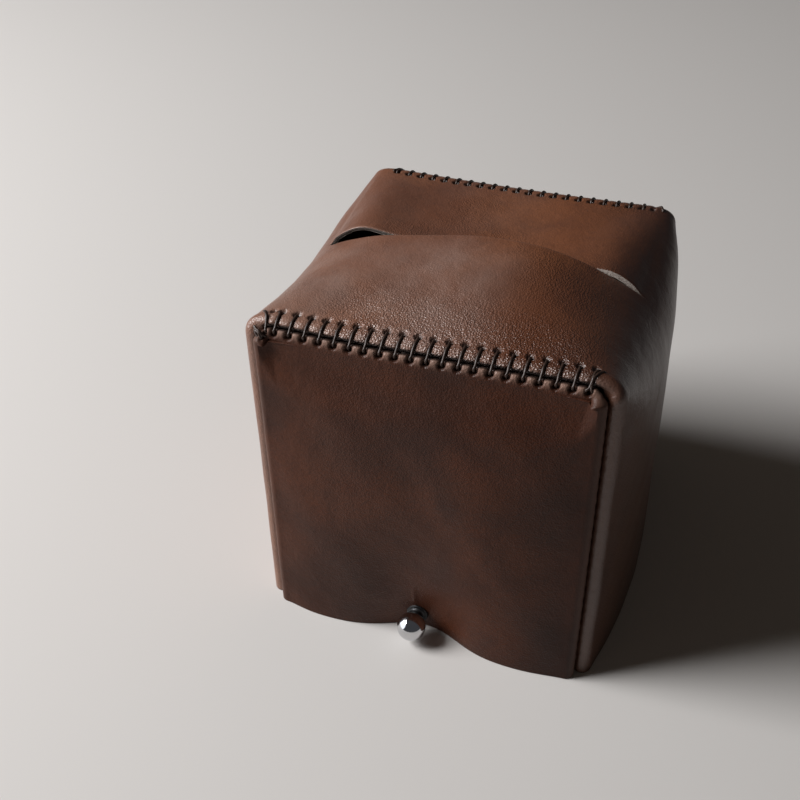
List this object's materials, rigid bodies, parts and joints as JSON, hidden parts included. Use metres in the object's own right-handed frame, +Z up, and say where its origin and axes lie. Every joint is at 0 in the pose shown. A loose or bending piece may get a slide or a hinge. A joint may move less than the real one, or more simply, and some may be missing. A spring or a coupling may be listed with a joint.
{
  "type": "tissue box cover",
  "caption": "Cube cover for a tissue box in stitched brown leather, with a slit across the top, a strap under the open base and a ball stud for it.",
  "frame": {"origin": "the middle of the open base between the corner seams, on the surface that the cover stands on", "axes": "+Z up; the front with the ball stud faces -Y; +X is to the right seen from the front"},
  "size_m": [0.1372, 0.1421, 0.1295],
  "materials": {
    "strip_leather": "brown full-grain leather, soft sheen",
    "panel_leather": "brown full-grain leather, soft sheen",
    "strap_leather": "brown full-grain leather, matt",
    "waxed_thread": "waxed thread, very dark brown",
    "stud_metal": "polished nickel plate"
  },
  "bodies": {
    "cover": {"body_strip": "strip_leather", "front_panel": "panel_leather", "back_panel": "panel_leather", "front_lacing": "waxed_thread", "back_lacing": "waxed_thread", "seam_thread_front_left": "waxed_thread", "seam_thread_front_right": "waxed_thread", "seam_thread_back_left": "waxed_thread", "seam_thread_back_right": "waxed_thread", "strap_tab": "strap_leather", "strap_stitching": "waxed_thread", "stud_head": "stud_metal", "stud_screw": "stud_metal"},
    "strap": {"bottom_strap": "strap_leather"}
  },
  "joints": [
    {"name": "strap_swing", "type": "hinge", "parent": "cover", "child": "strap", "pos_m": [-0.003, 0.06042, 0.0009], "axis": [1, 0, 0], "range_deg": [0, 95]}
  ]
}
